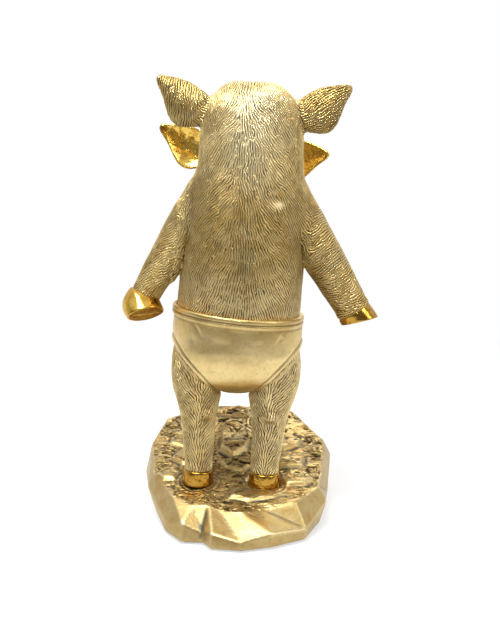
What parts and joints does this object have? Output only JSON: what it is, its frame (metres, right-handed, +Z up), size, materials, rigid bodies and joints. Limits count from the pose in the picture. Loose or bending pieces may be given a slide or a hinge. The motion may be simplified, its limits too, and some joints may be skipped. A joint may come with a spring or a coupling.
{
  "type": "pig figurine",
  "caption": "Antique-gold cast figurine of an upright pig in briefs facing a smaller pig on a faceted rock, an ornament for a shelf",
  "frame": {"origin": "On the ground plane under the felt, at the middle of the rock's ground outline.", "axes": "+Z up. +Y is the way that the tall pig faces, so the picture looks along +Y at its back. +X is the tall pig's right, the picture's right."},
  "size_m": [0.1583, 0.1604, 0.2828],
  "materials": {
    "fur": "satin",
    "polished": "polished",
    "satin": "satin",
    "rock": "satin",
    "eye": "gloss",
    "steel": "satin",
    "board": "matte",
    "felt": "matte"
  },
  "bodies": {
    "root": {"rock_base": "rock", "base_cover": "board", "felt_sheet": "felt", "tall_torso": "fur", "tall_head": "fur", "tall_left_arm": "fur", "tall_right_arm": "fur", "tall_left_leg": "fur", "tall_right_leg": "fur", "tall_left_ear": "fur", "tall_right_ear": "fur", "tall_nose": "polished", "tall_left_fore_hoof": "polished", "tall_right_fore_hoof": "polished", "tall_left_hind_hoof": "polished", "tall_right_hind_hoof": "polished", "tall_eyes": "eye", "tall_briefs": "satin", "tall_leg_rods": "steel", "small_torso": "fur", "small_head": "fur", "small_left_arm": "fur", "small_right_arm": "fur", "small_left_leg": "fur", "small_right_leg": "fur", "small_left_ear": "fur", "small_right_ear": "fur", "small_nose": "polished", "small_left_fore_hoof": "polished", "small_right_fore_hoof": "polished", "small_left_hind_hoof": "polished", "small_right_hind_hoof": "polished", "small_eyes": "eye", "small_briefs": "satin", "small_leg_rods": "steel"}
  },
  "joints": []
}
